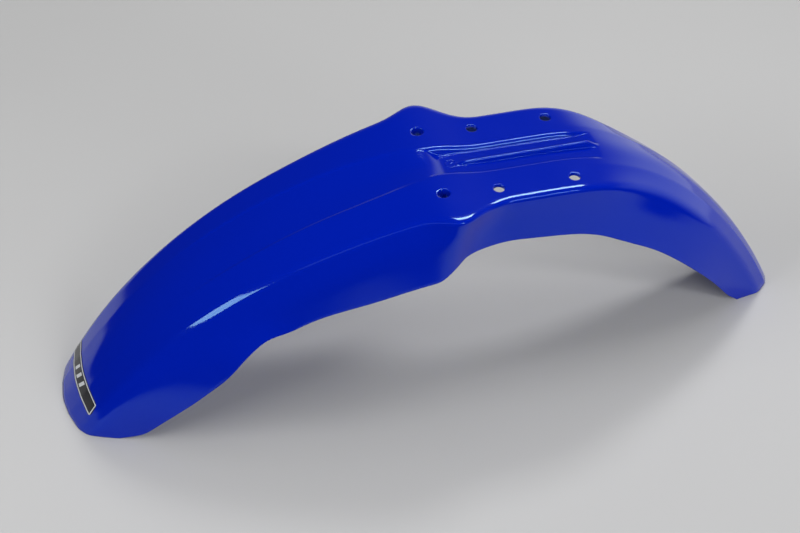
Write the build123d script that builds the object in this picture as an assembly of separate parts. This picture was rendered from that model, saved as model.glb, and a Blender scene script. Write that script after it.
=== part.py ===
from build123d import *
import os
import numpy as np

# Front mudguard of a motorcycle: one moulded shell, and a stuck-on strip across its nose.
# Millimetres. +X points forward, +Y to the rider's left, +Z up.
# The origin is on the mount's flat top, in the middle of its four bolt holes.

# Mount: four bolt holes on a rectangle, and two more with bosses on the crest in front of them
HOLE_SPACING_X = 71.0
HOLE_SPACING_Y = 90.0
HOLE_RADIUS = 5.0
CREST_HOLE_X = 87.0
CREST_HOLE_SPACING_Y = 92.0
CREST_HOLE_RADIUS = 5.5
BOSS_WALL = 3.0
BOSS_BOTTOM_Z = -9.0

# Wall of the moulding, and how far below the mount both of its ends are trimmed level
WALL = 3.0
STANDING_DEPTH = 208.0

# Recess along the middle of the mount; its floor falls to the rear and runs out through the crown there
RECESS_HALF_WIDTH = 18.5
RECESS_DRAFT = 0.3
RECESS_REAR_X = -76.0
RECESS_REAR_Z = -6.3
RECESS_FRONT_X = 76.0
RECESS_FRONT_Z = -1.0
RECESS_RAMP_LENGTH = 16.0
# Stiffening rib on the floor of the recess, with sloping ends
RIB_HALF_WIDTH = 1.6
RIB_DRAFT = -0.1
RIB_TOP_Z = 0.5
RIB_REAR_X = -72.0
RIB_REAR_SLOPE = 10.0
RIB_FRONT_X = 61.0
RIB_FRONT_SLOPE = 5.0
# Raised ring of the mould's date mark, in front of the rib
MARK_X = 67.5
MARK_Y = -1.5
MARK_RADIUS = 5.5
MARK_RING = 1.0
MARK_HEIGHT = 0.5

# Strip across the nose
DECAL_STATION = 484.5
DECAL_LENGTH = 92.0
DECAL_WIDTH = 15.0
DECAL_CORNER = 4.0
DECAL_THICKNESS = 0.3
ADHESIVE_GAP = 0.05
# Corner of the section, counted from the middle, up to which the strip is sampled before its outline is cut
DECAL_REACH = 2.5

# Lines of the guard, each as (station along the top line, value); a station is the arc length forward
# from the origin. The first gives the top line's slope in degrees, nose down.
SLOPE = [(-340, -65), (-250, -55), (-170, -43), (-100, -25), (-30, 0), (30, 0), (55, -10), (65, -10),
         (105, 8), (260, 25), (430, 47)]
# Half widths and drops, measured across the top line, of the corners that shape a cross section:
# the ridge beside the middle, the shoulder, the knee of the skirt and the skirt's edge
TROUGH_DROP = [(-120, 0), (40, 0), (100, -2.5), (180, -2), (300, 0), (430, 0)]
RIDGE_WIDTH = [(-340, 13), (-120, 23), (-50, 31), (40, 26), (87, 21), (154, 29), (300, 30), (430, 25)]
RIDGE_DROP = [(-340, -4.5), (-120, -3), (-50, 0), (100, 0), (300, -1.5), (430, -2)]
SHOULDER_WIDTH = [(-340, 25), (-230, 38), (-120, 46), (-50, 64), (39, 64), (80, 92), (110, 76.5),
                  (300, 64), (430, 54), (530, 40)]
SHOULDER_DROP = [(-340, -15), (-120, -10), (-45, 0), (40, 0), (100, -1), (200, -7), (430, -7)]
KNEE_WIDTH = [(-340, 27), (-230, 47), (-120, 56), (-45, 63.5), (42, 63.5), (87, 92), (120, 85), (280, 77),
              (430, 67), (500, 57), (540, 38)]
KNEE_DROP = [(-340, -31), (-120, -30), (-45, -24), (40, -22), (90, -20), (200, -28), (300, -29),
             (430, -21), (500, -14), (540, -9)]
EDGE_WIDTH = [(-340, 28), (-230, 54), (-120, 64), (-45, 64), (40, 66), (85, 87), (110, 93), (180, 87),
              (265, 84), (300, 88), (340, 93), (430, 81), (470, 72.5), (500, 62), (540, 40)]
EDGE_DROP = [(-372, -34), (-350, -35), (-325, -43.5), (-230, -53), (-120, -60), (-45, -54), (40, -45),
             (90, -57), (110, -62.5), (180, -66), (240, -57.5), (270, -56), (295, -46.5), (325, -49),
             (360, -57), (400, -58.5), (440, -54.5), (475, -51), (500, -31), (540, -11)]
# How far each corner is rounded, as a share of the runs beside it; the shoulder is softer inside the wall
MIDDLE_ROUNDING = 0.6
RIDGE_ROUNDING = 0.12
SHOULDER_ROUNDING = [(-340, 0.45), (-120, 0.4), (-45, 0.25), (30, 0.25), (75, 0.18), (110, 0.2), (430, 0.35)]
INNER_SHOULDER_ROUNDING = [(-340, 0.45), (-120, 0.4), (-45, 0.35), (20, 0.35), (45, 0.55), (75, 0.55),
                           (110, 0.25), (430, 0.35)]
KNEE_ROUNDING = 0.45

# Reach of the skin before its ends are trimmed, and of the mount within it; the number of the edge's corner;
# how finely the skin is sampled, how much the samples crowd towards the corners, and room for the cuts
REAR_STATION = -372.0
FRONT_STATION = 524.0
MOUNT_REAR_STATION = -100.0
MOUNT_FRONT_STATION = 130.0
EDGE_CORNER = 4
STATION_STEP = 12.0
ACROSS_STEP = 0.125
CROWDING = 0.65
ARC_STEP = 0.5
CUT_ROOM = 60.0


def eased_ramp(x, width):
    """Zero before the corner and x after it, joined by a smooth curve over +-width."""
    t = np.clip(x / width, -1, 1)
    bend = width * (3 + 8 * t + 6 * t**2 - t**4) / 16
    return np.where(x <= -width, 0, np.where(x >= width, x, bend))


def eased_line(points, at):
    """Straight runs through the points, each corner eased over half of its shorter neighbour run."""
    stations, values = np.array(points, float).T
    runs = np.diff(stations)
    slopes = np.diff(values) / runs
    line = values[0] + slopes[0] * (at - stations[0])
    for k in range(1, len(runs)):
        width = min(runs[k - 1], runs[k]) / 2
        line = line + (slopes[k] - slopes[k - 1]) * eased_ramp(at - stations[k], width)
    return line


def top_line(at):
    """Place and slope of the top line at each station: the slope, summed along the arc length."""
    fine = np.arange(REAR_STATION - STATION_STEP, FRONT_STATION + STATION_STEP, ARC_STEP)
    slope = np.radians(eased_line(SLOPE, fine))
    x = np.cumsum(np.cos(slope)) * ARC_STEP
    z = np.cumsum(-np.sin(slope)) * ARC_STEP
    x -= np.interp(0, fine, x)
    z -= np.interp(0, fine, z)
    return np.interp(at, fine, x), np.interp(at, fine, z), np.interp(at, fine, slope)


def skin(stations, across, shoulder_rounding=SHOULDER_ROUNDING):
    """Points of the outer skin. across runs over the section's corners: 0 the middle, 1 the ridge,
    2 the shoulder, 3 the knee, 4 the edge, and negative on the right side."""
    q = np.abs(across)
    width_lines = (RIDGE_WIDTH, SHOULDER_WIDTH, KNEE_WIDTH, EDGE_WIDTH)
    drop_lines = (TROUGH_DROP, RIDGE_DROP, SHOULDER_DROP, KNEE_DROP, EDGE_DROP)
    widths = [0 * q] + [eased_line(line, stations) for line in width_lines]
    drops = [eased_line(line, stations) for line in drop_lines]
    roundings = [None, RIDGE_ROUNDING, eased_line(shoulder_rounding, stations), KNEE_ROUNDING]
    y = (widths[1] - widths[0]) * q
    height = drops[0] + (drops[1] - drops[0]) * (2 * eased_ramp(q, MIDDLE_ROUNDING) - q)
    for k in (1, 2, 3):
        turn = eased_ramp(q - k, roundings[k])
        y = y + (widths[k + 1] - 2 * widths[k] + widths[k - 1]) * turn
        height = height + (drops[k + 1] - 2 * drops[k] + drops[k - 1]) * turn
    x, z, slope = top_line(stations)
    return np.stack([x + height * np.sin(slope), np.sign(across) * y, z + height * np.cos(slope)], -1)


def outward(stations, across, shoulder_rounding=SHOULDER_ROUNDING):
    """Unit vectors square to the skin, from small steps along and across it."""
    step = 1e-3
    ahead, behind = [skin(stations + s, across, shoulder_rounding) for s in (step, -step)]
    left, right = [skin(stations, across + s, shoulder_rounding) for s in (step, -step)]
    square = np.cross(ahead - behind, left - right)
    return square / np.linalg.norm(square, axis=-1, keepdims=True)


def layer_point(stations, across, height):
    """The skin moved outwards by a height; below the skin it follows the softer shoulder and doesn't fold."""
    rounding = SHOULDER_ROUNDING if height >= 0 else INNER_SHOULDER_ROUNDING
    return skin(stations, across, rounding) + height * outward(stations, across, rounding)


def skin_layer(rear, front, side, bottom, top):
    """A solid that follows the skin between two stations, from bottom to top as measured out of it."""
    rows = int((front - rear) / STATION_STEP) + 2
    columns = int(2 * side / ACROSS_STEP) + 1
    even = np.linspace(-side, side, columns)
    samples = even - CROWDING * np.sin(2 * np.pi * even) / (2 * np.pi)
    ticks = [float(tick) for tick in (samples + side) / (2 * side)]
    stations, across = np.meshgrid(np.linspace(rear, front, rows), samples, indexing="ij")
    sections = [
        [Wire([Edge.make_spline([Vector(*p) for p in row], parameters=ticks)]) for row in points]
        for points in (layer_point(stations, across, bottom), layer_point(stations, across, top))
    ]
    lower, upper = [Shell.make_loft(wires).face() for wires in sections]
    rims = [Face.make_surface_from_curves(a, b) for a, b in zip(lower.edges(), upper.edges())]
    return Solid(Shell([lower, upper] + rims))


def drafted_bar(profile, half_width, draft):
    """A side profile of (x, z) points spread to both sides, half_width at z = 0 and draft more per mm up."""
    profile = [(float(x), float(z)) for x, z in profile]
    rear, front = min(x for x, z in profile), max(x for x, z in profile)
    low, high = min(z for x, z in profile), max(z for x, z in profile)
    side_face = Face(Wire.make_polygon([(x, 0, z) for x, z in profile]))
    low_half, high_half = half_width + draft * low, half_width + draft * high
    end_outline = [(-low_half, low), (low_half, low), (high_half, high), (-high_half, high)]
    end_face = Face(Wire.make_polygon([(rear, y, z) for y, z in end_outline]))
    slab = extrude(side_face, CUT_ROOM, dir=(0, 1, 0), both=True)
    return slab & extrude(end_face, front - rear, dir=(1, 0, 0))


def recess_floor(x):
    """Height of the recess's floor at x."""
    return float(np.interp(x, [RECESS_REAR_X, RECESS_FRONT_X], [RECESS_REAR_Z, RECESS_FRONT_Z]))


def make_mount():
    guard = skin_layer(MOUNT_REAR_STATION, MOUNT_FRONT_STATION, EDGE_CORNER, -WALL, 0)
    ramp_top = RECESS_FRONT_X + RECESS_RAMP_LENGTH
    crest_z = float(skin(np.array([ramp_top]), np.array([1.0]))[0, 2])

    # Four holes go through the mount. On the crest, two bosses hang from inside the wall, each with its hole.
    for side in (-1, 1):
        for x in (-HOLE_SPACING_X / 2, HOLE_SPACING_X / 2):
            guard -= Pos(x, side * HOLE_SPACING_Y / 2, 0) * Cylinder(HOLE_RADIUS, CUT_ROOM)
    boss_top = crest_z - WALL / 2
    boss_length = boss_top - BOSS_BOTTOM_Z
    boss = Cylinder(CREST_HOLE_RADIUS + BOSS_WALL, boss_length)
    for side in (-1, 1):
        crest_y = side * CREST_HOLE_SPACING_Y / 2
        guard += Pos(CREST_HOLE_X, crest_y, boss_top - boss_length / 2) * boss
        guard -= Pos(CREST_HOLE_X, crest_y, 0) * Cylinder(CREST_HOLE_RADIUS, CUT_ROOM)

    # The recess is a tray under the skin, with its top inside the wall, and a pocket cut into both
    stations = np.linspace(RECESS_REAR_X, ramp_top + WALL, 30)
    inside_wall = layer_point(stations, 0 * stations, -WALL / 2)
    tray_profile = [(x, z) for x, y, z in inside_wall]
    tray_profile += [(RECESS_FRONT_X + WALL, RECESS_FRONT_Z - WALL), (inside_wall[0][0], RECESS_REAR_Z - WALL)]
    guard += drafted_bar(tray_profile, RECESS_HALF_WIDTH + WALL, RECESS_DRAFT)
    rise = (crest_z - RECESS_FRONT_Z) / RECESS_RAMP_LENGTH
    pocket_profile = [
        (RECESS_REAR_X - WALL, RECESS_REAR_Z),
        (RECESS_REAR_X, RECESS_REAR_Z),
        (RECESS_FRONT_X, RECESS_FRONT_Z),
        (ramp_top + WALL, crest_z + rise * WALL),
        (RECESS_REAR_X - WALL, crest_z + rise * WALL),
    ]
    guard -= drafted_bar(pocket_profile, RECESS_HALF_WIDTH, RECESS_DRAFT)
    rib_depth = WALL / 2
    rear_foot, front_foot = recess_floor(RIB_REAR_X), recess_floor(RIB_FRONT_X)
    rib_profile = [
        (RIB_REAR_X, rear_foot - rib_depth),
        (RIB_REAR_X, rear_foot),
        (RIB_REAR_X + RIB_REAR_SLOPE, RIB_TOP_Z),
        (RIB_FRONT_X - RIB_FRONT_SLOPE, RIB_TOP_Z),
        (RIB_FRONT_X, front_foot),
        (RIB_FRONT_X, front_foot - rib_depth),
    ]
    guard += drafted_bar(rib_profile, RIB_HALF_WIDTH, RIB_DRAFT)
    mark_depth = WALL / 2
    mark = Cylinder(MARK_RADIUS, MARK_HEIGHT + mark_depth) - Cylinder(MARK_RADIUS - MARK_RING, 2 * WALL)
    guard += Pos(MARK_X, MARK_Y, recess_floor(MARK_X) + (MARK_HEIGHT - mark_depth) / 2) * mark
    return guard


def make_mudguard():
    guard = make_mount()
    guard += skin_layer(REAR_STATION, MOUNT_REAR_STATION, EDGE_CORNER, -WALL, 0)
    guard += skin_layer(MOUNT_FRONT_STATION, FRONT_STATION, EDGE_CORNER, -WALL, 0)
    ground = Pos(0, 0, -STANDING_DEPTH - CUT_ROOM / 2) * Box(2 * FRONT_STATION, 2 * FRONT_STATION, CUT_ROOM)
    return guard - ground


def make_nose_decal():
    reach = DECAL_WIDTH / 2 + DECAL_CORNER
    top = ADHESIVE_GAP + DECAL_THICKNESS
    strip = skin_layer(DECAL_STATION - reach, DECAL_STATION + reach, DECAL_REACH, ADHESIVE_GAP, top)
    middle = np.array([DECAL_STATION])
    origin = tuple(skin(middle, 0 * middle)[0])
    place = Plane(origin=origin, x_dir=(0, 1, 0), z_dir=tuple(outward(middle, 0 * middle)[0]))
    outline = place * RectangleRounded(DECAL_LENGTH, DECAL_WIDTH, DECAL_CORNER)
    return strip & extrude(outline, CUT_ROOM / 2, both=True)


os.makedirs("parts", exist_ok=True)
for node, piece in {"mudguard": make_mudguard(), "nose_decal": make_nose_decal()}.items():
    solids = piece.solids()
    print(node, len(solids), "solid", round(piece.volume / 1000, 2), "cm3", piece.bounding_box())
    export_step(solids[0], f"parts/{node}.step")
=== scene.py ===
# %% [markdown]
# # A motorcycle front mudguard
# The guard is one glossy blue moulding: a hood that runs down to a flared nose, a flat mount between the
# fork tubes, skirts along both sides and a tail that curls down behind. In these cells its skin is worked
# out as a surface of two parameters, given a wall, a recess, holes and bosses, and then dressed and lit.

# %% The frame
import bpy
import bmesh
import numpy as np
from mathutils import Matrix


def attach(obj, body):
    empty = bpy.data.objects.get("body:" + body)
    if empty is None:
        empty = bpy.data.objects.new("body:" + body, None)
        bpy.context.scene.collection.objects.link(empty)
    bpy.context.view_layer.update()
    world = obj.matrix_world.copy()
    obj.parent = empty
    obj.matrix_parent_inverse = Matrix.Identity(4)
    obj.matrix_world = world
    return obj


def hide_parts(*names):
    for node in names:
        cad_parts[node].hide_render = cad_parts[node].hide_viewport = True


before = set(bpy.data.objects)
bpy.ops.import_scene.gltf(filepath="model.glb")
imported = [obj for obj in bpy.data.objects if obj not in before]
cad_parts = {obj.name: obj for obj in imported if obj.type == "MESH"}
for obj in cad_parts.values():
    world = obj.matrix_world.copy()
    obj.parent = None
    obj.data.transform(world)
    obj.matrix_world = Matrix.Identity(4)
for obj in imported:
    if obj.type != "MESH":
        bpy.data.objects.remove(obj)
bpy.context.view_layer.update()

# %% [markdown]
# ## The lines of the guard
# A guard like this is drawn with a top line and a few long lines beside it: the ridge, the shoulder, the
# knee of the skirt and the skirt's edge. Each line is a list of (station, value) points, where a station is
# the arc length along the top line, forward of the mount. Millimetres are used until the mesh is made.
# A spline could pass through the points, but it swings between them. Straight runs with eased corners
# don't, so the reflections stay calm.

# %% Lines
SLOPE = [(-340, -65), (-250, -55), (-170, -43), (-100, -25), (-30, 0), (30, 0), (55, -10), (65, -10),
         (105, 8), (260, 25), (430, 47)]
TROUGH_DROP = [(-120, 0), (40, 0), (100, -2.5), (180, -2), (300, 0), (430, 0)]
RIDGE_WIDTH = [(-340, 13), (-120, 23), (-50, 31), (40, 26), (87, 21), (154, 29), (300, 30), (430, 25)]
RIDGE_DROP = [(-340, -4.5), (-120, -3), (-50, 0), (100, 0), (300, -1.5), (430, -2)]
SHOULDER_WIDTH = [(-340, 25), (-230, 38), (-120, 46), (-50, 64), (39, 64), (80, 92), (110, 76.5),
                  (300, 64), (430, 54), (530, 40)]
SHOULDER_DROP = [(-340, -15), (-120, -10), (-45, 0), (40, 0), (100, -1), (200, -7), (430, -7)]
KNEE_WIDTH = [(-340, 27), (-230, 47), (-120, 56), (-45, 63.5), (42, 63.5), (87, 92), (120, 85), (280, 77),
              (430, 67), (500, 57), (540, 38)]
KNEE_DROP = [(-340, -31), (-120, -30), (-45, -24), (40, -22), (90, -20), (200, -28), (300, -29),
             (430, -21), (500, -14), (540, -9)]
EDGE_WIDTH = [(-340, 28), (-230, 54), (-120, 64), (-45, 64), (40, 66), (85, 87), (110, 93), (180, 87),
              (265, 84), (300, 88), (340, 93), (430, 81), (470, 72.5), (500, 62), (540, 40)]
EDGE_DROP = [(-372, -34), (-350, -35), (-325, -43.5), (-230, -53), (-120, -60), (-45, -54), (40, -45),
             (90, -57), (110, -62.5), (180, -66), (240, -57.5), (270, -56), (295, -46.5), (325, -49),
             (360, -57), (400, -58.5), (440, -54.5), (475, -51), (500, -31), (540, -11)]
MIDDLE_ROUNDING = 0.6
RIDGE_ROUNDING = 0.12
SHOULDER_ROUNDING = [(-340, 0.45), (-120, 0.4), (-45, 0.25), (30, 0.25), (75, 0.18), (110, 0.2), (430, 0.35)]
INNER_SHOULDER_ROUNDING = [(-340, 0.45), (-120, 0.4), (-45, 0.35), (20, 0.35), (45, 0.55), (75, 0.55),
                           (110, 0.25), (430, 0.35)]
KNEE_ROUNDING = 0.45
WALL = 3.0
STANDING_DEPTH = 208.0


def eased_ramp(x, width):
    """Zero before the corner and x after it. Within +-width of it, with t = x / width, it is the quartic
    width (3 + 8t + 6t^2 - t^4) / 16."""
    t = np.clip(x / width, -1, 1)
    bend = width * (3 + 8 * t + 6 * t**2 - t**4) / 16
    return np.where(x <= -width, 0, np.where(x >= width, x, bend))


def soft_step(x, ease):
    """0 below 0, x up to 1, then 1: one eased ramp minus the next."""
    return eased_ramp(x, ease) - eased_ramp(x - 1, ease)


def eased_line(points, at):
    """The first run's straight line, plus one eased ramp per corner, times the change of slope there."""
    stations, values = np.array(points, float).T
    runs = np.diff(stations)
    slopes = np.diff(values) / runs
    line = values[0] + slopes[0] * (at - stations[0])
    for k in range(1, len(runs)):
        width = min(runs[k - 1], runs[k]) / 2
        line = line + (slopes[k] - slopes[k - 1]) * eased_ramp(at - stations[k], width)
    return line


print("skirt edge", round(float(eased_line(EDGE_WIDTH, 0.0)), 1), "mm out at the origin")

# %% [markdown]
# ## The top line
# The top line is written as a slope in degrees at each station. Its heights could be written instead, but
# with a slope a station stays a true arc length. The line's place is the running sum of short steps, each
# in the direction of the slope.

# %% Top line
FINE_STEP = 0.5
FINE = np.arange(-412, 564, FINE_STEP)
FINE_SLOPE = np.radians(eased_line(SLOPE, FINE))
FINE_X = np.cumsum(np.cos(FINE_SLOPE)) * FINE_STEP
FINE_Z = np.cumsum(-np.sin(FINE_SLOPE)) * FINE_STEP
FINE_X -= np.interp(0, FINE, FINE_X)
FINE_Z -= np.interp(0, FINE, FINE_Z)
print("top line runs from x", round(FINE_X[0]), "to", round(FINE_X[-1]), "mm")

# %% [markdown]
# ## The skin
# A cross section is a half outline with five corners: middle, ridge, shoulder, knee and edge, numbered 0
# to 4 by the parameter across. Its corners are eased in the same way, so one formula gives every point
# of the skin. The surface is square to nothing in particular, so its normals come from small steps.

# %% Skin points and normals
KNEE_ACROSS, EDGE_ACROSS = 3.0, 4.0
STATION_NUDGE, ACROSS_NUDGE = 0.05, 1e-3
HALVINGS = 40


def skin(stations, across, shoulder_rounding=SHOULDER_ROUNDING):
    """Point of the skin: the top line's place at the station, plus the section's height along the top line's
    normal and its half width along Y. Height and width are sums of eased ramps over |across|."""
    q = np.abs(across)
    width_lines = (RIDGE_WIDTH, SHOULDER_WIDTH, KNEE_WIDTH, EDGE_WIDTH)
    drop_lines = (TROUGH_DROP, RIDGE_DROP, SHOULDER_DROP, KNEE_DROP, EDGE_DROP)
    widths = [0 * q] + [eased_line(line, stations) for line in width_lines]
    drops = [eased_line(line, stations) for line in drop_lines]
    roundings = [None, RIDGE_ROUNDING, eased_line(shoulder_rounding, stations), KNEE_ROUNDING]
    y = widths[1] * q
    height = drops[0] + (drops[1] - drops[0]) * (2 * eased_ramp(q, MIDDLE_ROUNDING) - q)
    for k in (1, 2, 3):
        turn = eased_ramp(q - k, roundings[k])
        y = y + (widths[k + 1] - 2 * widths[k] + widths[k - 1]) * turn
        height = height + (drops[k + 1] - 2 * drops[k] + drops[k - 1]) * turn
    slope = np.interp(stations, FINE, FINE_SLOPE)
    x = np.interp(stations, FINE, FINE_X) + height * np.sin(slope)
    z = np.interp(stations, FINE, FINE_Z) + height * np.cos(slope)
    return np.stack([x, np.sign(across) * y, z], -1)


def unit(vectors):
    """The vectors divided by their lengths."""
    return vectors / np.linalg.norm(vectors, axis=-1, keepdims=True)


def outward(stations, across, shoulder_rounding=SHOULDER_ROUNDING):
    """Cross product of a small step along the station and a small step across, made a unit vector."""
    ahead, behind = [skin(stations + s, across, shoulder_rounding) for s in (STATION_NUDGE, -STATION_NUDGE)]
    left, right = [skin(stations, across + s, shoulder_rounding) for s in (ACROSS_NUDGE, -ACROSS_NUDGE)]
    return unit(np.cross(ahead - behind, left - right))


def wall_point(stations, across, depth):
    """The skin moved inwards by depth along its normal. Inside, the shoulder is softer, so that the wall
    can't fold."""
    rounding = SHOULDER_ROUNDING if depth <= 0 else INNER_SHOULDER_ROUNDING
    return skin(stations, across, rounding) - depth * outward(stations, across, rounding)


def across_at(stations, y):
    """The across value where the skin's half width is y: halving the bracket from middle to knee over and
    over."""
    low, high = np.zeros_like(stations + y), np.full_like(stations + y, KNEE_ACROSS)
    for _ in range(HALVINGS):
        middle = (low + high) / 2
        short = skin(stations, middle)[..., 1] < y
        low, high = np.where(short, middle, low), np.where(short, high, middle)
    return (low + high) / 2


print("mount half width at the origin", round(float(skin(np.array(0.0), np.array(2.0))[1]), 2), "mm")

# %% [markdown]
# ## The grid of the shell
# The grid's rows are stations and its columns run across. In the mount the columns keep a constant Y, so
# that the recess and the rib have edges to sit on and the holes fall into square blocks. Elsewhere they
# follow the section's corners, and the change from one to the other stays clear of the blocks, so that
# their seams close. One even grid would be simpler, but it would need far more faces.

# %% Rows and columns
HOLE_SPACING_X, HOLE_SPACING_Y, HOLE_RADIUS = 71.0, 90.0, 5.0
CREST_HOLE_X, CREST_HOLE_SPACING_Y, CREST_HOLE_RADIUS = 87.0, 92.0, 5.5
BLOCK_STEPS, BLOCK_HALF, BLOCK_Y = 12, 11.5, 45.5
BLOCK_STATIONS = [-HOLE_SPACING_X / 2, HOLE_SPACING_X / 2, CREST_HOLE_X]
BLOCK_NEXT_STEPS = [4, 2.2, 3.5]
TAIL_RUNS = [(-356, 7), (-150, 5), (-80, 2.4)]
HOOD_RUNS = [(140, 6), (430, 4)]
NOSE_ROW = 517.0
MOUNT_MIX, MOUNT_EASE = 35.0, 0.3
RIM_BULGE, EDGE_STEP = 0.8, 0.01

MOUNT_COLUMNS = np.concatenate([
    [0, 0.7, 1.3, 1.7, 2.0, 2.3, 2.55, 2.8, 3.05, 3.3, 3.6, 4.0, 4.6, 6, 8.5, 11.5, 13.5, 14.7, 15.2, 15.6],
    np.arange(16.0, 20.0, 0.3), [20.3, 20.8, 21.4, 22.2, 24, 25.6], np.arange(26.2, 28.9, 0.3), [29.4, 31.5]])
BLOCK_COLUMNS = np.linspace(BLOCK_Y - BLOCK_HALF, BLOCK_Y + BLOCK_HALF, BLOCK_STEPS + 1)
OUTER_SHARES = np.concatenate([
    np.arange(0.03, 0.31, 0.03), np.arange(0.34, 0.71, 0.04), [0.75, 0.8, 0.85, 0.9, 0.94, 0.97, 1.0]])
side_columns = np.concatenate([MOUNT_COLUMNS, BLOCK_COLUMNS])
mount_start = BLOCK_STATIONS[0] - BLOCK_HALF - (1 + MOUNT_EASE) * MOUNT_MIX
mount_stop = BLOCK_STATIONS[-1] + BLOCK_HALF + MOUNT_EASE * MOUNT_MIX


def spread(start, stop, step):
    """Even stations from start up to, not including, stop, about a step apart."""
    return np.linspace(start, stop, max(1, round((stop - start) / step)), endpoint=False)


row_runs = list(TAIL_RUNS)
for centre, next_step in zip(BLOCK_STATIONS, BLOCK_NEXT_STEPS):
    row_runs += [(centre - BLOCK_HALF, 2 * BLOCK_HALF / BLOCK_STEPS), (centre + BLOCK_HALF, next_step)]
row_runs += HOOD_RUNS
row_stops = [start for start, _ in row_runs[1:]] + [NOSE_ROW]
row_groups = [spread(start, stop, step) for (start, step), stop in zip(row_runs, row_stops)]
rows = np.concatenate(row_groups + [[NOSE_ROW]])


def shell_across(stations):
    """Across values of all columns on one side: by constant Y in the mount, by the origin's values elsewhere,
    mixed by an eased weight; the columns beyond the hole blocks share out what is left up to the edge."""
    columns = side_columns + 0 * stations
    weight = soft_step((stations - mount_start) / MOUNT_MIX, MOUNT_EASE)
    weight = weight - soft_step((stations - mount_stop) / MOUNT_MIX, MOUNT_EASE)
    there = across_at(stations + 0 * columns, columns)
    here = across_at(0 * columns, columns)
    inner = here + (there - here) * np.clip(weight, 0, 1)
    last = inner[:, -1:]
    edge_strip = [skin(stations, across + 0 * stations) for across in (EDGE_ACROSS, EDGE_ACROSS - EDGE_STEP)]
    reach = np.linalg.norm(edge_strip[0] - edge_strip[1], axis=-1) / EDGE_STEP
    outer = last + (EDGE_ACROSS - RIM_BULGE / reach - last) * OUTER_SHARES
    return np.concatenate([inner, outer], 1)


half_across = shell_across(rows[:, None])
grid_across = np.concatenate([-half_across[:, :0:-1], half_across], 1)
grid_station = rows[:, None] + 0 * grid_across
print("grid", grid_across.shape, "rows by columns")

# %% [markdown]
# The guard stands on its two ends, which are moulded level with the ground. A boolean cut would leave
# ragged faces there. Instead each column finds the station where it meets the ground, and the last rows are
# stretched to it.

# %% Level ends
NOSE_TRIM = {"row": -1, "low": 430.0, "high": 524.0, "still": 430.0}
TAIL_TRIM = {"row": 0, "low": -372.0, "high": -325.0, "still": -300.0}


def trimmed(stations, across, depth):
    """Stations with the first and last rows stretched from the station that stays still, so that each column
    ends on the ground level, which is found by halving the bracket from low to high over and over."""
    level = -STANDING_DEPTH + RIM_BULGE
    fitted = stations.copy()
    for trim in (NOSE_TRIM, TAIL_TRIM):
        row, still = trim["row"], trim["still"]
        q = across[row]
        low, high = np.full_like(q, trim["low"]), np.full_like(q, trim["high"])
        for _ in range(HALVINGS):
            middle = (low + high) / 2
            under = wall_point(middle, q, depth)[:, 2] < level
            ahead = under if row == -1 else ~under
            low, high = np.where(ahead, low, middle), np.where(ahead, middle, high)
        stretch = (low - still) / (stations[row] - still)
        moving = stations > still if row == -1 else stations < still
        fitted = np.where(moving, still + (stations - still) * stretch, fitted)
    return fitted


outer_station = trimmed(grid_station, grid_across, 0.0)
inner_station = trimmed(grid_station, grid_across, WALL)
print("nose ends at station", round(float(outer_station[-1].max()), 1))
print("tail ends at station", round(float(outer_station[0].min()), 1))

# %% [markdown]
# ## Recess, rib and ridge step
# The mount has a shallow recess along its middle with one stiffening rib, and a tray shows underneath. On
# the hood, the ridges stand a small step above the trough between them. All of it could be cut with
# booleans, but those leave slivers that spoil the gloss. Here it is made of heights: the skin is lowered to
# the floor inside rounded walls, the rib lifts the floor again, and the step lowers the trough.

# %% Recess and tray
RECESS_HALF_WIDTH, RECESS_INSET, RECESS_STEEPNESS, RECESS_ROUND = 18.5, 1.0, 2.25, 3.6
RECESS_FOOT, FOOT_SHARE, LEAST_FOOT = 0.4, 0.3, 0.02
RECESS_MIDDLE_X, RECESS_REACH = 10.0, 100.0
RECESS_FRONT_X, RECESS_FRONT_Z = 76.0, -1.0
RECESS_FLOOR = [(-76, -6.3), (-30, -3.9), (38, -3.4), (RECESS_FRONT_X, RECESS_FRONT_Z)]
RAMP_LENGTH, RAMP_FOOT_EASE = 16.0, 2.5
FLOOR_EASE, RAMP_EASE, RAMP_EASE_RUN = 0.6, 3.0, 8.0
crest_z = float(skin(np.array(RECESS_FRONT_X + RAMP_LENGTH), np.array(1.0))[2])
ramp_rise = (crest_z - RECESS_FRONT_Z) / RAMP_LENGTH


def recess_floor(x):
    """Height of the floor: an eased line that falls to the rear."""
    return eased_line(RECESS_FLOOR, x)


def sunk(points, offset):
    """Lowers points to the floor and the ramp in front of it. From each side a rounded wall falls away, and
    the smaller of its fall and the floor's depth counts, eased at the foot. The tray is offset by the wall's
    thickness."""
    x, y, z = points[..., 0], np.abs(points[..., 1]), points[..., 2]
    past_front = x - (RECESS_FRONT_X + offset)
    floor_z = recess_floor(x) - offset + ramp_rise * eased_ramp(past_front, RAMP_FOOT_EASE)
    ease = FLOOR_EASE + RAMP_EASE * np.clip(past_front / RAMP_EASE_RUN, 0, 1)
    depth = eased_ramp(z - floor_z, ease) * (np.abs(x - RECESS_MIDDLE_X) < RECESS_REACH)
    fall = RECESS_STEEPNESS * eased_ramp(RECESS_HALF_WIDTH - RECESS_INSET + offset - y, RECESS_ROUND)
    foot = np.minimum(RECESS_FOOT, FOOT_SHARE * depth + LEAST_FOOT)
    lowered = points.copy()
    lowered[..., 2] = z - np.maximum(depth - eased_ramp(depth - fall, foot), 0)
    return lowered


print("recess floor from z", RECESS_FLOOR[0][1], "to", RECESS_FRONT_Z, "mm, crest at", round(crest_z, 2))

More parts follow.
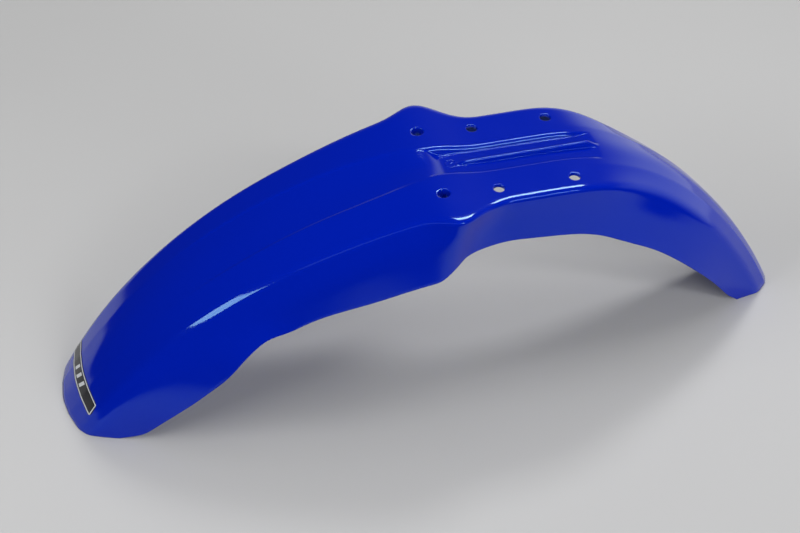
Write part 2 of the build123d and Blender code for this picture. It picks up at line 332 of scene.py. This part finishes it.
# %% Rib and ridge step
RIB_HALF_WIDTH, RIB_WALL, RIB_TOP_Z = 1.6, 0.6, 0.5
RIB_REAR_X, RIB_REAR_SLOPE, RIB_FRONT_X, RIB_FRONT_SLOPE = -72.0, 10.0, 61.0, 5.0
RIB_EASE, RIB_WALL_EASE = 0.15, 1.5
STEP_DEPTH, STEP_SHARE, STEP_EASE = 1.0, 0.075, 0.35
STEP_START, STEP_START_RUN, STEP_END, STEP_END_RUN, STEP_RUN_EASE = 95.0, 40.0, 290.0, 60.0, 0.4


def ribbed(points):
    """Lifts the floor to the rib: a trapezium along X times a narrow soft wall in Y."""
    x, y, z = points[..., 0], np.abs(points[..., 1]), points[..., 2]
    ends = np.minimum((x - RIB_REAR_X) / RIB_REAR_SLOPE, (RIB_FRONT_X - x) / RIB_FRONT_SLOPE)
    rib_z = recess_floor(x) + (RIB_TOP_Z - recess_floor(x)) * soft_step(ends, RIB_EASE)
    lift = eased_ramp(rib_z - z, RIB_EASE) * (rib_z > z)
    wall = soft_step((RIB_HALF_WIDTH + RIB_WALL - y) / RIB_WALL, RIB_WALL_EASE)
    lifted = points.copy()
    lifted[..., 2] = z + lift * wall * (ends > 0)
    return lifted


def stepped(points, stations, across):
    """Lowers the trough between the ridges by a small step just inside them, faded out at both ends."""
    share = soft_step((1 - np.abs(across)) / STEP_SHARE, STEP_EASE)
    along = soft_step((stations - STEP_START) / STEP_START_RUN, STEP_RUN_EASE)
    along = along - soft_step((stations - STEP_END) / STEP_END_RUN, STEP_RUN_EASE)
    lowered = points.copy()
    lowered[..., 2] -= STEP_DEPTH * share * along
    return lowered


plain_points = skin(outer_station, grid_across)
outer_points = ribbed(sunk(stepped(plain_points, outer_station, grid_across), 0.0))
inner_points = sunk(wall_point(inner_station, grid_across, WALL), WALL)
print("the relief is up to", round(float((plain_points - outer_points)[..., 2].max()), 2), "mm deep")

# %% [markdown]
# ## Two walls and the rim
# The outside and the inside of the shell are two sheets of points, with square blocks left out where the
# holes go. The free edge all round gets a bulged rim, because a moulded edge is never sharp. A Solidify
# modifier could make the second wall, but it would fold where the shoulder is tight.

# %% Sheets of the two walls
OUTSIDE, RIM, INSIDE = 0.0, 0.3, 1.0
RIM_STEPS = 8
shell_sheets = []


def add_sheet(sheets, points, value, keep=None, flip=False):
    """Notes a grid of points as quads, with a value per point: each cell joins four neighbours, keep masks
    cells and flip turns them over."""
    count_rows, count_columns = points.shape[:2]
    index = np.arange(count_rows * count_columns).reshape(count_rows, count_columns)
    quads = np.stack([index[:-1, :-1], index[1:, :-1], index[1:, 1:], index[:-1, 1:]], -1)
    quads = quads[keep] if keep is not None else quads.reshape(-1, 4)
    quads = quads[:, ::-1] if flip else quads
    sheets.append((points.reshape(-1, 3), quads, np.broadcast_to(value, points.shape[:2]).reshape(-1)))


def loop_of(grid):
    """The border of a grid as one closed run: first row, last column, last row back, first column back."""
    return np.concatenate([grid[0, :-1], grid[:-1, -1], grid[-1, :0:-1], grid[:0:-1, 0], grid[:1, 0]])


keep_cells = np.ones((len(rows) - 1, grid_across.shape[1] - 1), bool)
zero_column = half_across.shape[1] - 1
block_first = len(MOUNT_COLUMNS)
for centre in BLOCK_STATIONS:
    first_row = int(np.argmin(np.abs(rows - (centre - BLOCK_HALF))))
    for first_column in (zero_column + block_first, zero_column - block_first - BLOCK_STEPS):
        keep_cells[first_row:first_row + BLOCK_STEPS, first_column:first_column + BLOCK_STEPS] = False
add_sheet(shell_sheets, outer_points, OUTSIDE, keep_cells)
add_sheet(shell_sheets, inner_points, INSIDE, keep_cells, flip=True)

outer_loop, inner_loop = loop_of(outer_points), loop_of(inner_points)
edge_way = np.zeros_like(outer_points)
edge_way[:, -1] = unit(outer_points[:, -1] - outer_points[:, -2])
edge_way[:, 0] = unit(outer_points[:, 0] - outer_points[:, 1])
edge_way[[0, -1]] += np.array([0, 0, -1.0])
way_loop = unit(loop_of(edge_way))
rim_turn = np.linspace(0, np.pi, RIM_STEPS + 1)[:, None, None]
rim_points = ((outer_loop + inner_loop) / 2 + np.cos(rim_turn) * (outer_loop - inner_loop) / 2
              + RIM_BULGE * np.sin(rim_turn) * way_loop)
add_sheet(shell_sheets, rim_points, RIM, flip=True)
print("sheets so far", len(shell_sheets), "with", int((~keep_cells).sum()), "cells left out for the holes")

# %% [markdown]
# ## Holes and bosses
# Each hole fills its square block with rings that pass from the square to a circle, over a rounded lip,
# down the bore and out to the inner wall. The two holes on the crest go through tubular bosses. Booleans
# could cut them, but rings keep the faces even, so that the gloss runs smoothly up to the lip.

# %% Rings of the holes
LIP, LIP_ANGLES, FLARE = 1.0, np.radians([20, 40, 60, 75, 90]), 0.5
BOSS_WALL, BOSS_BOTTOM_Z, BOSS_FILLET, BOSS_ANGLES = 3.0, -9.0, 1.0, np.radians([30, 60, 90])
BOSS_BEVEL, BORE_BEVEL = 0.5, 0.4
OUTSIDE_RINGS, INSIDE_RINGS, BORE_RINGS = 8, 6, 5


def ring_sheet(rings):
    """Stacks rings of points and closes them by repeating the first column."""
    stack = np.stack(rings)
    return np.concatenate([stack, stack[:, :1]], 1)


def hole_sheets(centre_x, side, centre_y, radius, boss):
    """Rings from the block's square to a circle, in (station, Y), on the outer and the inner wall, then down
    the lip's quarter round and the bore, and for a boss down its outside to the end."""
    corner = np.array([[-1, -1], [1, -1], [1, 1], [-1, 1]]) * BLOCK_HALF
    share = np.arange(BLOCK_STEPS)[:, None] / BLOCK_STEPS
    square = np.concatenate([corner[k] + (corner[(k + 1) % 4] - corner[k]) * share for k in range(4)])
    block = square + [centre_x, side * BLOCK_Y]
    angle = np.radians(-135) + np.arange(4 * BLOCK_STEPS) * 2 * np.pi / (4 * BLOCK_STEPS)
    round_way = np.stack([np.cos(angle), np.sin(angle)], -1)

    def circle(r):
        return [centre_x, side * centre_y] + r * round_way

    def wall_rings(r, depth, count):
        flats = [block + (circle(r) - block) * t for t in np.linspace(0, 1, count)]
        acrosses = [side * across_at(flat[:, 0], np.abs(flat[:, 1])) for flat in flats]
        return [wall_point(flat[:, 0], across, depth) for flat, across in zip(flats, acrosses)]

    def level_ring(r, z):
        return np.concatenate([circle(r), np.broadcast_to(z, angle.shape)[:, None]], 1)

    outside = wall_rings(radius + LIP, 0.0, OUTSIDE_RINGS)
    lip_z = outside[-1][:, 2]
    for phi in LIP_ANGLES:
        outside.append(level_ring(radius + LIP - LIP * np.sin(phi), lip_z - LIP * (1 - np.cos(phi))))
    wide = radius + (BOSS_WALL + BOSS_FILLET if boss else FLARE)
    inside = wall_rings(wide, WALL, INSIDE_RINGS)
    end_z = inside[-1][:, 2]
    if boss:
        for phi in BOSS_ANGLES:
            fillet_z = end_z - BOSS_FILLET * (1 - np.cos(phi))
            inside.append(level_ring(wide - BOSS_FILLET * np.sin(phi), fillet_z))
        inside.append(level_ring(radius + BOSS_WALL, BOSS_BOTTOM_Z + BOSS_BEVEL))
        inside.append(level_ring(radius + BOSS_WALL - BOSS_BEVEL, BOSS_BOTTOM_Z))
        inside.append(level_ring(radius + BORE_BEVEL, BOSS_BOTTOM_Z))
        end_z = BOSS_BOTTOM_Z + BORE_BEVEL
    bore_z = lip_z - LIP
    outside += [level_ring(radius, bore_z + (end_z - bore_z) * t) for t in np.linspace(0, 1, BORE_RINGS)[1:]]
    inside.append(outside[-1])
    add_sheet(shell_sheets, ring_sheet(outside), OUTSIDE, flip=True)
    add_sheet(shell_sheets, ring_sheet(inside), INSIDE)


for side in (-1, 1):
    hole_sheets(CREST_HOLE_X, side, CREST_HOLE_SPACING_Y / 2, CREST_HOLE_RADIUS, True)
    for x in (-HOLE_SPACING_X / 2, HOLE_SPACING_X / 2):
        hole_sheets(x, side, HOLE_SPACING_Y / 2, HOLE_RADIUS, False)
print("sheets", len(shell_sheets))

# %% [markdown]
# ## The date mark
# A small raised ring with a pointer stands on the floor of the recess: the mark that a mould's date insert
# leaves. A bump in the material could show it, but it would be missing from the mesh. So the ring is a
# round profile turned about an upright axis, and the pointer is a tapered bar with a round back. Both are
# sunk a little into the floor.

# %% Date mark
MARK_X, MARK_Y, MARK_RADIUS, MARK_RING, MARK_HEIGHT, MARK_SINK = 67.5, -1.5, 5.5, 1.0, 0.5, 0.05
MARK_STEPS, BEND_STEPS = 48, 8
POINTER_HALF_LENGTH, POINTER_HEIGHT, POINTER_WAY = 2.6, 0.3, (0.8, 0.6)
POINTER_TIP, POINTER_SPREAD = 0.12, 0.75


def turned(radius, z):
    """Carries (radius, z) points round the mark's axis."""
    angle = np.linspace(0, 2 * np.pi, MARK_STEPS + 1)
    x = MARK_X + radius[:, None] * np.cos(angle)
    return np.stack([x, MARK_Y + radius[:, None] * np.sin(angle), recess_floor(x) + z[:, None]], -1)


bend = np.linspace(0, np.pi, BEND_STEPS + 1)
ring_radius = MARK_RADIUS - MARK_RING / 2 + MARK_RING / 2 * np.cos(bend)
add_sheet(shell_sheets, turned(ring_radius, MARK_HEIGHT * np.sin(bend) - MARK_SINK), OUTSIDE, flip=True)
pointer_along = np.linspace(-POINTER_HALF_LENGTH, POINTER_HALF_LENGTH, BEND_STEPS + 1)[:, None]
taper = (POINTER_HALF_LENGTH - pointer_along) / (2 * POINTER_HALF_LENGTH)
pointer_aside = (POINTER_TIP + POINTER_SPREAD * taper) * np.cos(bend)
pointer_x = MARK_X + pointer_along * POINTER_WAY[0] - pointer_aside * POINTER_WAY[1]
pointer_y = MARK_Y + pointer_along * POINTER_WAY[1] + pointer_aside * POINTER_WAY[0]
pointer_z = recess_floor(pointer_x) - MARK_SINK + POINTER_HEIGHT * np.sin(bend)
add_sheet(shell_sheets, np.stack([pointer_x, pointer_y, pointer_z], -1), OUTSIDE, flip=True)
print("date mark", 2 * MARK_RADIUS, "mm wide, sheets", len(shell_sheets))

# %% [markdown]
# ## One mesh
# On the real guard all of this is one shot of plastic, so the sheets become one mesh. Separate objects would
# show seams in the gloss. Here the points that two sheets share are merged, and the shading is smooth.

# %% The moulding
MERGE_DISTANCE = 2e-6


def mesh_from_sheets(name, parts, value_name):
    """Joins the sheets into one mesh in metres, keeps their values as an attribute and merges the points
    that they share."""
    starts = np.cumsum([0] + [len(points) for points, _, _ in parts])
    points = np.concatenate([points for points, _, _ in parts]) / 1000
    quads = np.concatenate([quads + start for (_, quads, _), start in zip(parts, starts)])
    mesh = bpy.data.meshes.new(name)
    mesh.vertices.add(len(points))
    mesh.vertices.foreach_set("co", points.astype(np.float32).ravel())
    mesh.loops.add(quads.size)
    mesh.loops.foreach_set("vertex_index", quads.astype(np.int32).ravel())
    mesh.polygons.add(len(quads))
    mesh.polygons.foreach_set("loop_start", np.arange(0, quads.size, 4, dtype=np.int32))
    mesh.update(calc_edges=True)
    values = mesh.attributes.new(value_name, "FLOAT", "POINT")
    values.data.foreach_set("value", np.concatenate([value for _, _, value in parts]).astype(np.float32))
    shape = bmesh.new()
    shape.from_mesh(mesh)
    bmesh.ops.remove_doubles(shape, verts=shape.verts, dist=MERGE_DISTANCE)
    open_edges = sum(len(edge.link_faces) != 2 for edge in shape.edges)
    shape.to_mesh(mesh)
    shape.free()
    mesh.polygons.foreach_set("use_smooth", np.ones(len(mesh.polygons), bool))
    mesh.update()
    print(name, len(mesh.polygons), "faces, edges not shared by two faces:", open_edges)
    piece = bpy.data.objects.new(name, mesh)
    bpy.context.scene.collection.objects.link(piece)
    return piece


mudguard = mesh_from_sheets("mudguard_shell", shell_sheets, "inside")
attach(mudguard, "root")
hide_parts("mudguard")

# %% [markdown]
# ## The strip on the nose
# A thin vinyl strip lies across the nose. It could be painted into the plastic's material, but it has an
# edge of its own that catches the light. So it is the skin again, lifted by its adhesive and its own
# thickness, on a grid whose rows get shorter near the long sides, which rounds the corners.

# %% Nose strip
DECAL_STATION, DECAL_LENGTH, DECAL_WIDTH, DECAL_CORNER = 484.5, 92.0, 15.0, 4.0
DECAL_THICKNESS, ADHESIVE_GAP = 0.3, 0.05
STRIP_ROWS, STRIP_COLUMNS = 31, 81
row_angle = np.linspace(-np.pi / 2, np.pi / 2, STRIP_ROWS)
v = (np.sin(row_angle) * DECAL_WIDTH / 2)[:, None]
past_corner = np.clip(np.abs(v) - (DECAL_WIDTH / 2 - DECAL_CORNER), 0, DECAL_CORNER)
half_length = DECAL_LENGTH / 2 - DECAL_CORNER + np.sqrt(DECAL_CORNER**2 - past_corner**2)
u = np.linspace(-1, 1, STRIP_COLUMNS) * half_length
strip_station = DECAL_STATION + v + 0 * u
strip_across = np.sign(u) * across_at(strip_station, np.abs(u))
strip_top = wall_point(strip_station, strip_across, -(ADHESIVE_GAP + DECAL_THICKNESS))
strip_bottom = wall_point(strip_station, strip_across, -ADHESIVE_GAP)
width_share = 2 * v / DECAL_WIDTH + 0 * u
strip_sheets = []
add_sheet(strip_sheets, strip_top, width_share)
add_sheet(strip_sheets, strip_bottom, width_share, flip=True)
strip_sides = np.stack([loop_of(strip_top), loop_of(strip_bottom)])
add_sheet(strip_sheets, strip_sides, loop_of(width_share), flip=True)
nose_decal = mesh_from_sheets("nose_strip", strip_sheets, "width_share")
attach(nose_decal, "root")
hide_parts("nose_decal")

# %% [markdown]
# ## Node helpers
# A material is a small net of nodes, and most of its lines would only make a node and plug it in. The
# helpers below do that, and give back the socket that the next node needs.

# %% Node helpers


def new_material(name):
    """An empty node material: returns it with its node tree and its shader."""
    material = bpy.data.materials.new(name)
    material.use_nodes = True
    return material, material.node_tree, material.node_tree.nodes["Principled BSDF"]


def add_node(tree, kind, **settings):
    """A new node with its plain settings and, by name, the values of its input sockets."""
    node = tree.nodes.new(kind)
    for key, value in settings.items():
        if key in node.inputs:
            node.inputs[key].default_value = value
        else:
            setattr(node, key, value)
    return node


def maths_node(tree, operation, first, second):
    """A maths node on two values, each a number or another node's output."""
    node = add_node(tree, "ShaderNodeMath", operation=operation)
    for socket, value in zip(node.inputs, (first, second)):
        if isinstance(value, (int, float)):
            socket.default_value = value
        else:
            tree.links.new(value, socket)
    return node.outputs["Value"]


def range_node(tree, value, before, after, curve="LINEAR"):
    """Carries a value from one range to another, clamped, straight or by a smooth step."""
    ends = {"From Min": before[0], "From Max": before[1], "To Min": after[0], "To Max": after[1]}
    node = add_node(tree, "ShaderNodeMapRange", interpolation_type=curve, **ends)
    tree.links.new(value, node.inputs["Value"])
    return node.outputs["Result"]


def reach_node(tree, vector, way):
    """How far a vector reaches along a way: their dot product."""
    node = add_node(tree, "ShaderNodeVectorMath", operation="DOT_PRODUCT")
    node.inputs[1].default_value = way
    tree.links.new(vector, node.inputs[0])
    return node.outputs["Value"]


def blend_node(tree, share, first, second):
    """A colour between two colours: the first times one minus the share, plus the second times the share."""
    node = add_node(tree, "ShaderNodeMix", data_type="RGBA")
    node.inputs[6].default_value = first
    node.inputs[7].default_value = second
    tree.links.new(share, node.inputs[0])
    return node.outputs[2]


helpers = (new_material, add_node, maths_node, range_node, reach_node, blend_node)
print("helpers", [helper.__name__ for helper in helpers])

# %% [markdown]
# ## Materials
# The guard is injection moulded polypropylene with the colour all through. Its outside copies a polished
# mould, so it is glossy with a faint waviness, and its underside copies a blasted one, so it is dull and
# finely grained. One attribute, inside, tells the two apart. A painted look with a clear coat would shine
# in the same way, but the plastic has only one surface, so a single shader is enough. The grain and the
# slight change of gloss are a node group, because the vinyl strip has them too.

# %% Mould surface
NOISE_MIDDLE = (0.3, 0.7)
WEAR_SCALE, WEAR_REACH = 14.0, (-0.02, 0.02)


def mould_group():
    """Group: a broad noise, mapped to a small range, is the wear to add to a roughness, and a fine noise as
    the height of a bump gives the normal."""
    group = bpy.data.node_groups.new("mould_surface", "ShaderNodeTree")
    for name, kind, way in (("Grain", "NodeSocketFloat", "INPUT"), ("Depth", "NodeSocketFloat", "INPUT"),
                            ("Wear", "NodeSocketFloat", "OUTPUT"), ("Normal", "NodeSocketVector", "OUTPUT")):
        group.interface.new_socket(name, in_out=way, socket_type=kind)
    start, end = add_node(group, "NodeGroupInput"), add_node(group, "NodeGroupOutput")
    position = add_node(group, "ShaderNodeTexCoord").outputs["Object"]
    fine = add_node(group, "ShaderNodeTexNoise", Detail=3.0)
    broad = add_node(group, "ShaderNodeTexNoise", Scale=WEAR_SCALE, Detail=2.0)
    bump = add_node(group, "ShaderNodeBump", Strength=1.0)
    wear = range_node(group, broad.outputs["Fac"], NOISE_MIDDLE, WEAR_REACH)
    group.links.new(position, fine.inputs["Vector"])
    group.links.new(position, broad.inputs["Vector"])
    group.links.new(start.outputs["Grain"], fine.inputs["Scale"])
    group.links.new(start.outputs["Depth"], bump.inputs["Distance"])
    group.links.new(fine.outputs["Fac"], bump.inputs["Height"])
    group.links.new(wear, end.inputs["Wear"])
    group.links.new(bump.outputs["Normal"], end.inputs["Normal"])
    return group


mould = mould_group()
print("group", mould.name, [item.name for item in mould.interface.items_tree])

# %% Blue plastic
POLISHED_BLUE, BLASTED_BLUE = (0.0, 0.0105, 0.37, 1), (0.001, 0.013, 0.33, 1)
GRAIN_SCALES, GRAIN_DEPTHS, PLASTIC_ROUGHNESS = (70.0, 900.0), (0.00002, 0.00006), (0.09, 0.42)
BOTH_SIDES = (OUTSIDE, INSIDE)
blue, tree, shader = new_material("blue_plastic")
inside_share = add_node(tree, "ShaderNodeAttribute", attribute_name="inside").outputs["Fac"]
surface = add_node(tree, "ShaderNodeGroup", node_tree=mould)
tree.links.new(range_node(tree, inside_share, BOTH_SIDES, GRAIN_SCALES), surface.inputs["Grain"])
tree.links.new(range_node(tree, inside_share, BOTH_SIDES, GRAIN_DEPTHS), surface.inputs["Depth"])
dull = range_node(tree, inside_share, BOTH_SIDES, PLASTIC_ROUGHNESS)
rough = maths_node(tree, "ADD", dull, surface.outputs["Wear"])
tone = blend_node(tree, inside_share, POLISHED_BLUE, BLASTED_BLUE)
tree.links.new(tone, shader.inputs["Base Color"])
tree.links.new(rough, shader.inputs["Roughness"])
tree.links.new(surface.outputs["Normal"], shader.inputs["Normal"])
shader.inputs["IOR"].default_value = 1.5
shader.inputs["Specular Tint"].default_value = (0.42, 0.84, 1.0, 1)
mudguard.data.materials.append(blue)
print(blue.name, "has", len(tree.nodes), "nodes")

# %% [markdown]
# The strip is printed vinyl: a dark ground, a pale line just inside its border and three slanted bars. All of
# it is worked out from two lengths, how far a point is along the strip and across it, so no picture is used.

# %% Vinyl strip
VINYL_DARK, VINYL_PALE = (0.010, 0.010, 0.013, 1), (0.55, 0.57, 0.60, 1)
BORDER_INSET, BORDER_HALF_WIDTH = 1.3, 0.6
BAR_SLANT, BAR_SPACING, BAR_HALF_WIDTH, BARS_REACH, BAR_INSET = 0.5, 12.0, 2.2, 15.0, 3.6
VINYL_GRAIN, VINYL_DEPTH, VINYL_ROUGHNESS = 300.0, 0.00001, 0.22
vinyl, tree, shader = new_material("decal_vinyl")
split = add_node(tree, "ShaderNodeSeparateXYZ")
tree.links.new(add_node(tree, "ShaderNodeTexCoord").outputs["Object"], split.inputs["Vector"])
share = add_node(tree, "ShaderNodeAttribute", attribute_name="width_share").outputs["Fac"]
along_mm = maths_node(tree, "MULTIPLY", split.outputs["Y"], 1000.0)
across_mm = maths_node(tree, "MULTIPLY", share, DECAL_WIDTH / 2)
long_inset = maths_node(tree, "SUBTRACT", DECAL_LENGTH / 2, maths_node(tree, "ABSOLUTE", along_mm, 0.0))
wide_inset = maths_node(tree, "SUBTRACT", DECAL_WIDTH / 2, maths_node(tree, "ABSOLUTE", across_mm, 0.0))
border = maths_node(tree, "COMPARE", maths_node(tree, "MINIMUM", long_inset, wide_inset), BORDER_INSET)
border.node.inputs[2].default_value = BORDER_HALF_WIDTH
slanted = maths_node(tree, "ADD", along_mm, maths_node(tree, "MULTIPLY", across_mm, BAR_SLANT))
nearest = maths_node(tree, "PINGPONG", slanted, BAR_SPACING / 2)
bar = maths_node(tree, "GREATER_THAN", BAR_HALF_WIDTH, nearest)
near_middle = maths_node(tree, "GREATER_THAN", BARS_REACH, maths_node(tree, "ABSOLUTE", slanted, 0.0))
off_border = maths_node(tree, "GREATER_THAN", wide_inset, BAR_INSET)
bars = maths_node(tree, "MULTIPLY", bar, maths_node(tree, "MULTIPLY", near_middle, off_border))
ink = blend_node(tree, maths_node(tree, "MAXIMUM", border, bars), VINYL_DARK, VINYL_PALE)
surface = add_node(tree, "ShaderNodeGroup", node_tree=mould, Grain=VINYL_GRAIN, Depth=VINYL_DEPTH)
rough = maths_node(tree, "ADD", surface.outputs["Wear"], VINYL_ROUGHNESS)
tree.links.new(ink, shader.inputs["Base Color"])
tree.links.new(rough, shader.inputs["Roughness"])
tree.links.new(surface.outputs["Normal"], shader.inputs["Normal"])
nose_decal.data.materials.append(vinyl)
print(vinyl.name, "has", len(tree.nodes), "nodes")

# %% [markdown]
# ## Floor
# The guard stands on a sheet of pale paper. To the camera the sheet is pale all over. To the gloss and to
# bounced light its colour is painted darker towards the front, the back and behind the tail. This is painted
# shade that stands in for a sheet lit only in its middle, because an endless pale sheet would wash out the
# blue. A painted picture could hold this painted shade, but three smooth steps along three ways are enough.

# %% Floor
FLOOR_ENDS_X, FLOOR_ENDS_Y = (-0.8, 1.4), (-0.75, 1.0)
FLOOR_SHADE_FADES = [((0.252, 0.968, 0), (0.285, 0.46)), ((0.77, -0.64, 0), (0.755, 1.0)),
               ((-0.8, 0.6, 0), (0.48, 0.8))]
PAPER_TONES, PAPER_SCALE, PAINTED_SHADE_LEVEL = (0.485, 0.51), 1.5, 0.03
floor_z = -STANDING_DEPTH / 1000
corners = [(FLOOR_ENDS_X[i], FLOOR_ENDS_Y[j], floor_z) for i, j in ((0, 0), (1, 0), (1, 1), (0, 1))]
floor_mesh = bpy.data.meshes.new("floor")
floor_mesh.from_pydata(corners, [], [(0, 1, 2, 3)])
floor = bpy.data.objects.new("floor", floor_mesh)
bpy.context.scene.collection.objects.link(floor)
paper, tree, shader = new_material("paper")
position = add_node(tree, "ShaderNodeTexCoord").outputs["Object"]
fibre = add_node(tree, "ShaderNodeTexNoise", Scale=PAPER_SCALE, Detail=2.0)
tree.links.new(position, fibre.inputs["Vector"])
tint = range_node(tree, fibre.outputs["Fac"], NOISE_MIDDLE, PAPER_TONES)
lit = 1.0
# Painted shade: the paper's colour is darkened by three smooth steps away from the middle, and the camera
# never sees it.
for way, ends in FLOOR_SHADE_FADES:
    painted_shade = range_node(tree, reach_node(tree, position, way), ends, (1.0, PAINTED_SHADE_LEVEL), "SMOOTHSTEP")
    lit = maths_node(tree, "MULTIPLY", painted_shade, lit)
seen = maths_node(tree, "MAXIMUM", lit, add_node(tree, "ShaderNodeLightPath").outputs["Is Camera Ray"])
tree.links.new(maths_node(tree, "MULTIPLY", tint, seen), shader.inputs["Base Color"])
shader.inputs["Roughness"].default_value = 0.9
shader.inputs["Specular IOR Level"].default_value = 0.1
floor_mesh.materials.append(paper)
print("floor at z", floor_z, "m from", corners[0][:2], "to", corners[2][:2])

# %% [markdown]
# ## Room
# The room is dark, with one pale wall low behind the guard, beyond its tail, which gives the tail its sheen.
# A picture of a studio could stand in for it, but a smooth lobe of light about one direction does the same.
# Past the floor the camera sees an even pale backdrop, which lights nothing.

# %% World
BACK_WALL_WAY, BACK_WALL_SPREAD, BACK_WALL_LIGHT = (-0.796, -0.597, 0.1), (0.42, 0.96), (0.0, 0.9)
BACK_WALL_HEIGHTS, BACK_WALL_KEPT = (0.12, 0.5), (1.0, 0.12)
ROOM_LIGHT, BACKDROP = 0.02, 0.6
world = bpy.data.worlds.new("studio")
bpy.context.scene.world = world
world.use_nodes = True
tree = world.node_tree
sight = add_node(tree, "ShaderNodeTexCoord").outputs["Generated"]
split = add_node(tree, "ShaderNodeSeparateXYZ")
tree.links.new(sight, split.inputs["Vector"])
facing = reach_node(tree, sight, BACK_WALL_WAY)
lobe = range_node(tree, facing, BACK_WALL_SPREAD, BACK_WALL_LIGHT, "SMOOTHSTEP")
low = range_node(tree, split.outputs["Z"], BACK_WALL_HEIGHTS, BACK_WALL_KEPT, "SMOOTHSTEP")
room = maths_node(tree, "ADD", maths_node(tree, "MULTIPLY", lobe, low), ROOM_LIGHT)
camera_ray = add_node(tree, "ShaderNodeLightPath").outputs["Is Camera Ray"]
backdrop = maths_node(tree, "MULTIPLY", camera_ray, BACKDROP)
tree.links.new(maths_node(tree, "MAXIMUM", room, backdrop), tree.nodes["Background"].inputs["Color"])
tree.nodes["Background"].inputs["Strength"].default_value = 1.0
print("world", world.name, "has", len(tree.nodes), "nodes")

# %% [markdown]
# ## Lamps
# A softbox ahead of the guard makes the short streak on the hood. Two strips, one behind the guard and one in
# front of it, draw the lines along the recess, the rib and the near edge of the mount, and a faint lamp under
# the ceiling lifts the hood. Two large fills give the plain level of light and the soft shadow. Their own
# images are kept out of the gloss, because they would cover the blue with grey.

# %% Lamps


def placed(right, up, back, place):
    """The matrix that puts an object at a place, with these three directions as its X, Y and Z."""
    return Matrix.Translation(list(place)) @ Matrix(np.stack([right, up, back], 1).tolist()).to_4x4()


def lamp(name, place, aim, size, watts, in_gloss=True):
    """A rectangular area lamp at a place, turned so that it shines at a point."""
    data = bpy.data.lights.new(name, "AREA")
    data.shape, data.size, data.size_y, data.energy = "RECTANGLE", size[0], size[1], watts
    light = bpy.data.objects.new(name, data)
    bpy.context.scene.collection.objects.link(light)
    back = unit(np.array(place, float) - np.array(aim, float))
    right = unit(np.cross([0, 1.0, 0], back))
    light.matrix_world = placed(right, np.cross(back, right), back, place)
    light.visible_glossy = in_gloss


lamp("softbox_ahead", (1.68, 0.48, 1.01), (0.28, 0.06, -0.05), (0.5, 1.4), 20)
lamp("strip_behind", (-0.62, -1.15, 1.68), (-0.1, 0, 0), (0.84, 0.38), 19)
lamp("strip_front", (-0.5, 1.5, 1.4), (0, 0.06, 0), (0.95, 0.2), 10)
lamp("ceiling", (0.75, 0.8, 1.75), (0.2, 0.06, 0), (1.2, 0.5), 1.0)
lamp("fill_above", (-0.55, -0.4, 2.3), (0, 0, 0), (2.0, 1.6), 19, in_gloss=False)
lamp("fill_front", (-1.1, 2.4, 0.5), (0, 0, 0), (3.0, 1.2), 58, in_gloss=False)
print("lamps", [item.name for item in bpy.data.lights])

# %% [markdown]
# ## Camera
# The camera looks down on the guard's left side from about two metres, through a long lens, which keeps the
# nose and the tail at about the same scale. It is turned by an azimuth and an elevation about the mount, and
# then shifted in its own plane, so that the whole guard is in the picture.

# %% Camera
AZIMUTH, ELEVATION = np.radians(165.5), np.radians(41.44)
DISTANCE, SHIFT_RIGHT, SHIFT_UP = 2.0267, 0.1117, 0.1047
SENSOR_WIDTH, LENS = 36, 100
right = np.array([np.cos(AZIMUTH), np.sin(AZIMUTH), 0])
level_back = np.array([np.sin(AZIMUTH), -np.cos(AZIMUTH), 0])
back = level_back * np.cos(ELEVATION) + np.array([0, 0, np.sin(ELEVATION)])
up = np.cross(back, right)
camera_place = DISTANCE * back - SHIFT_RIGHT * right - SHIFT_UP * up
camera_data = bpy.data.cameras.new("camera")
camera_data.sensor_width, camera_data.lens = SENSOR_WIDTH, LENS
camera = bpy.data.objects.new("camera", camera_data)
bpy.context.scene.collection.objects.link(camera)
camera.matrix_world = placed(right, up, back, camera_place)
bpy.context.scene.camera = camera
bpy.context.scene.view_settings.view_transform = "Standard"
print("camera at", np.round(camera_place, 3).tolist())
